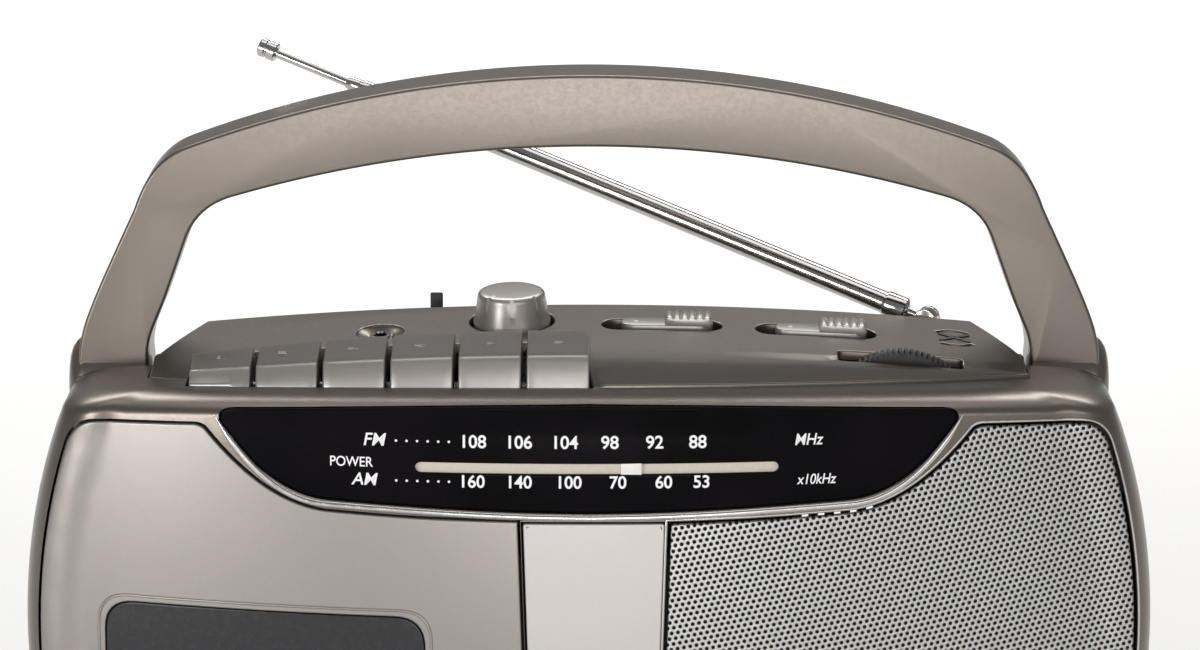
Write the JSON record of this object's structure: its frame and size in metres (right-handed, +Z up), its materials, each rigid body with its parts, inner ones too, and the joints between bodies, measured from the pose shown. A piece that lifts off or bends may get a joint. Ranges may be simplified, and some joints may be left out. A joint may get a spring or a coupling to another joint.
{
  "type": "portable radio cassette recorder",
  "caption": "Portable AM/FM radio and cassette recorder with a folding carry handle, telescopic antenna, piano keys and a hinged cassette door.",
  "frame": {"origin": "centre of the whole object's footprint box, on the standing surface, with the antenna as stored", "axes": "+X to the object's right as seen from its front, -Y out of the front with the dial and keys, +Z up"},
  "size_m": [0.2936, 0.1446, 0.1961],
  "materials": {
    "champagne_paint": "satin metallic paint on ABS",
    "silver_paint": "satin silver paint on ABS",
    "black_gloss": "polished, printed from behind",
    "smoke_window": "clear smoked acrylic",
    "black_plastic": "moulded",
    "chrome": "plated brass tube",
    "steel": "pressed, plated",
    "grille_metal": "perforated, lacquered",
    "rubber": "matte",
    "board": "phenolic circuit board",
    "paper": "pressed paper pulp",
    "ferrite": "sintered ferrite",
    "brass": "turned"
  },
  "bodies": {
    "cabinet": {"front_cabinet": "champagne_paint", "rear_cabinet": "champagne_paint", "top_panel": "champagne_paint", "dial_lens": "black_gloss", "dial_scale": "silver_paint", "badge_panel": "silver_paint", "speaker_grille": "grille_metal", "speaker_frame": "steel", "speaker_cone": "paper", "speaker_magnet": "ferrite", "main_board": "board", "power_transformer": "steel", "ac_inlet": "black_plastic", "headphone_jack": "chrome", "microphone": "steel", "volume_potentiometer": "steel", "function_switch": "steel", "band_switch": "steel", "tuning_capacitor": "steel", "ferrite_rod": "ferrite", "mechanism_chassis": "steel", "key_shaft": "steel", "motor": "steel", "drive_belt": "rubber", "battery_contact_left": "steel", "battery_contact_right": "steel", "foot_front_left": "rubber", "foot_front_right": "rubber", "foot_rear_left": "rubber", "foot_rear_right": "rubber", "handle_pivot_left": "steel", "handle_pivot_right": "steel"},
    "handle": {"handle": "champagne_paint"},
    "door": {"cassette_door": "champagne_paint", "door_window": "smoke_window", "cassette_holder": "steel"},
    "key_pause": {"key_pause": "silver_paint"},
    "key_stop_eject": {"key_stop_eject": "silver_paint"},
    "key_fast_forward": {"key_fast_forward": "silver_paint"},
    "key_rewind": {"key_rewind": "silver_paint"},
    "key_play": {"key_play": "silver_paint"},
    "key_record": {"key_record": "silver_paint"},
    "volume_knob": {"volume_knob": "silver_paint"},
    "function_slider": {"function_slider": "silver_paint"},
    "band_slider": {"band_slider": "silver_paint"},
    "tuning_wheel": {"tuning_wheel": "black_plastic"},
    "dial_pointer": {"dial_pointer": "silver_paint"},
    "flywheel": {"flywheel": "steel"},
    "motor_pulley": {"motor_pulley": "brass"},
    "takeup_spindle": {"takeup_spindle": "black_plastic"},
    "supply_spindle": {"supply_spindle": "black_plastic"},
    "head_plate": {"head_plate": "steel"},
    "pinch_arm": {"pinch_arm": "steel"},
    "pinch_roller": {"pinch_roller": "rubber"},
    "antenna_swivel": {"antenna_swivel": "chrome"},
    "antenna_tube": {"antenna_tube": "chrome"},
    "antenna_section_2": {"antenna_section_2": "chrome"},
    "antenna_section_3": {"antenna_section_3": "chrome"},
    "antenna_tip_rod": {"antenna_tip_rod": "chrome"},
    "battery_cover": {"battery_cover": "champagne_paint"}
  },
  "joints": [
    {"name": "handle_fold", "type": "hinge", "parent": "cabinet", "child": "handle", "pos_m": [0, -0.00013, 0.1125], "axis": [-1, 0, 0], "range_deg": [0, 30]},
    {"name": "door_open", "type": "hinge", "parent": "cabinet", "child": "door", "pos_m": [-0.08, -0.05033, 0.013], "axis": [1, 0, 0], "range_deg": [0, 22]},
    {"name": "press_pause", "type": "hinge", "parent": "cabinet", "child": "key_pause", "pos_m": [-0.05, -0.01733, 0.1145], "axis": [1, 0, 0], "range_deg": [0, 8], "stiffness_Nm_per_rad": 0.6, "springref_deg": -3.44},
    {"name": "press_stop_eject", "type": "hinge", "parent": "cabinet", "child": "key_stop_eject", "pos_m": [-0.05, -0.01733, 0.1145], "axis": [1, 0, 0], "range_deg": [0, 8], "stiffness_Nm_per_rad": 0.6, "springref_deg": -3.44},
    {"name": "press_fast_forward", "type": "hinge", "parent": "cabinet", "child": "key_fast_forward", "pos_m": [-0.05, -0.01733, 0.1145], "axis": [1, 0, 0], "range_deg": [0, 8], "stiffness_Nm_per_rad": 0.6, "springref_deg": -3.44},
    {"name": "press_rewind", "type": "hinge", "parent": "cabinet", "child": "key_rewind", "pos_m": [-0.05, -0.01733, 0.1145], "axis": [1, 0, 0], "range_deg": [0, 8], "stiffness_Nm_per_rad": 0.6, "springref_deg": -3.44},
    {"name": "press_play", "type": "hinge", "parent": "cabinet", "child": "key_play", "pos_m": [-0.05, -0.01733, 0.1145], "axis": [1, 0, 0], "range_deg": [0, 8], "stiffness_Nm_per_rad": 0.6, "springref_deg": -3.44},
    {"name": "press_record", "type": "hinge", "parent": "cabinet", "child": "key_record", "pos_m": [-0.05, -0.01733, 0.1145], "axis": [1, 0, 0], "range_deg": [0, 8], "stiffness_Nm_per_rad": 0.6, "springref_deg": -3.44},
    {"name": "volume_turn", "type": "hinge", "parent": "cabinet", "child": "volume_knob", "pos_m": [-0.0205, 0.00017, 0.12862], "axis": [-0.0178, -0.1057, 0.9942], "range_deg": [-150, 150]},
    {"name": "function_slide", "type": "slide", "parent": "cabinet", "child": "function_slider", "axis": [0.9999, 0.0018, -0.0167], "range_m": [-0.0048, 0]},
    {"name": "band_slide", "type": "slide", "parent": "cabinet", "child": "band_slider", "axis": [0.9986, 0.0055, -0.0519], "range_m": [-0.0048, 0]},
    {"name": "tuning_turn", "type": "hinge", "parent": "cabinet", "child": "tuning_wheel", "pos_m": [0.0814, -0.02333, 0.1045], "axis": [0, 1, 0], "range_deg": [-197.9, 132.2]},
    {"name": "pointer_slide", "type": "slide", "parent": "cabinet", "child": "dial_pointer", "axis": [1, 0, 0], "range_m": [-0.0519, 0.0347]},
    {"name": "flywheel_spin", "type": "hinge", "parent": "cabinet", "child": "flywheel", "pos_m": [-0.05, -0.02833, 0.082], "axis": [0, 1, 0], "continuous": true},
    {"name": "motor_spin", "type": "hinge", "parent": "cabinet", "child": "motor_pulley", "pos_m": [-0.116, -0.02833, 0.066], "axis": [0, 1, 0], "continuous": true},
    {"name": "takeup_spin", "type": "hinge", "parent": "cabinet", "child": "takeup_spindle", "pos_m": [-0.06175, -0.03533, 0.053], "axis": [0, 1, 0], "continuous": true},
    {"name": "supply_spin", "type": "hinge", "parent": "cabinet", "child": "supply_spindle", "pos_m": [-0.10425, -0.03533, 0.053], "axis": [0, 1, 0], "continuous": true},
    {"name": "head_slide", "type": "slide", "parent": "cabinet", "child": "head_plate", "axis": [0, 0, -1], "range_m": [0, 0.004]},
    {"name": "pinch_swing", "type": "hinge", "parent": "cabinet", "child": "pinch_arm", "pos_m": [-0.0335, -0.03533, 0.097], "axis": [0, -1, 0], "range_deg": [0, 12]},
    {"name": "pinch_spin", "type": "hinge", "parent": "pinch_arm", "child": "pinch_roller", "pos_m": [-0.05, -0.04033, 0.09275], "axis": [0, 1, 0], "continuous": true},
    {"name": "antenna_turn", "type": "hinge", "parent": "cabinet", "child": "antenna_swivel", "pos_m": [0.091, 0.01917, 0.125], "axis": [0, 0, -1], "range_deg": [-15.5, 100]},
    {"name": "antenna_tilt", "type": "hinge", "parent": "antenna_swivel", "child": "antenna_tube", "pos_m": [0.091, 0.01917, 0.125], "axis": [0.2672, 0.9636, 0], "range_deg": [-18.1, 80]},
    {"name": "section_2_slide", "type": "slide", "parent": "antenna_tube", "child": "antenna_section_2", "axis": [-0.9084, 0.2519, 0.3338], "range_m": [0, 0.13]},
    {"name": "section_3_slide", "type": "slide", "parent": "antenna_section_2", "child": "antenna_section_3", "axis": [-0.9084, 0.2519, 0.3338], "range_m": [0, 0.13]},
    {"name": "tip_rod_slide", "type": "slide", "parent": "antenna_section_3", "child": "antenna_tip_rod", "axis": [-0.9084, 0.2519, 0.3338], "range_m": [-0.0215, 0.11]},
    {"name": "battery_cover_slide", "type": "slide", "parent": "cabinet", "child": "battery_cover", "axis": [0, 1, 0], "range_m": [0, 0.03]}
  ],
  "couplings": [
    {"joint": "pointer_slide", "follows": "tuning_turn", "m_per_rad": 0.015},
    {"joint": "motor_spin", "follows": "flywheel_spin", "ratio": 4.75},
    {"joint": "takeup_spin", "follows": "flywheel_spin", "ratio": 0.11},
    {"joint": "head_slide", "follows": "press_play", "m_per_rad": 0.0286},
    {"joint": "pinch_swing", "follows": "press_play", "ratio": 1.49}
  ]
}
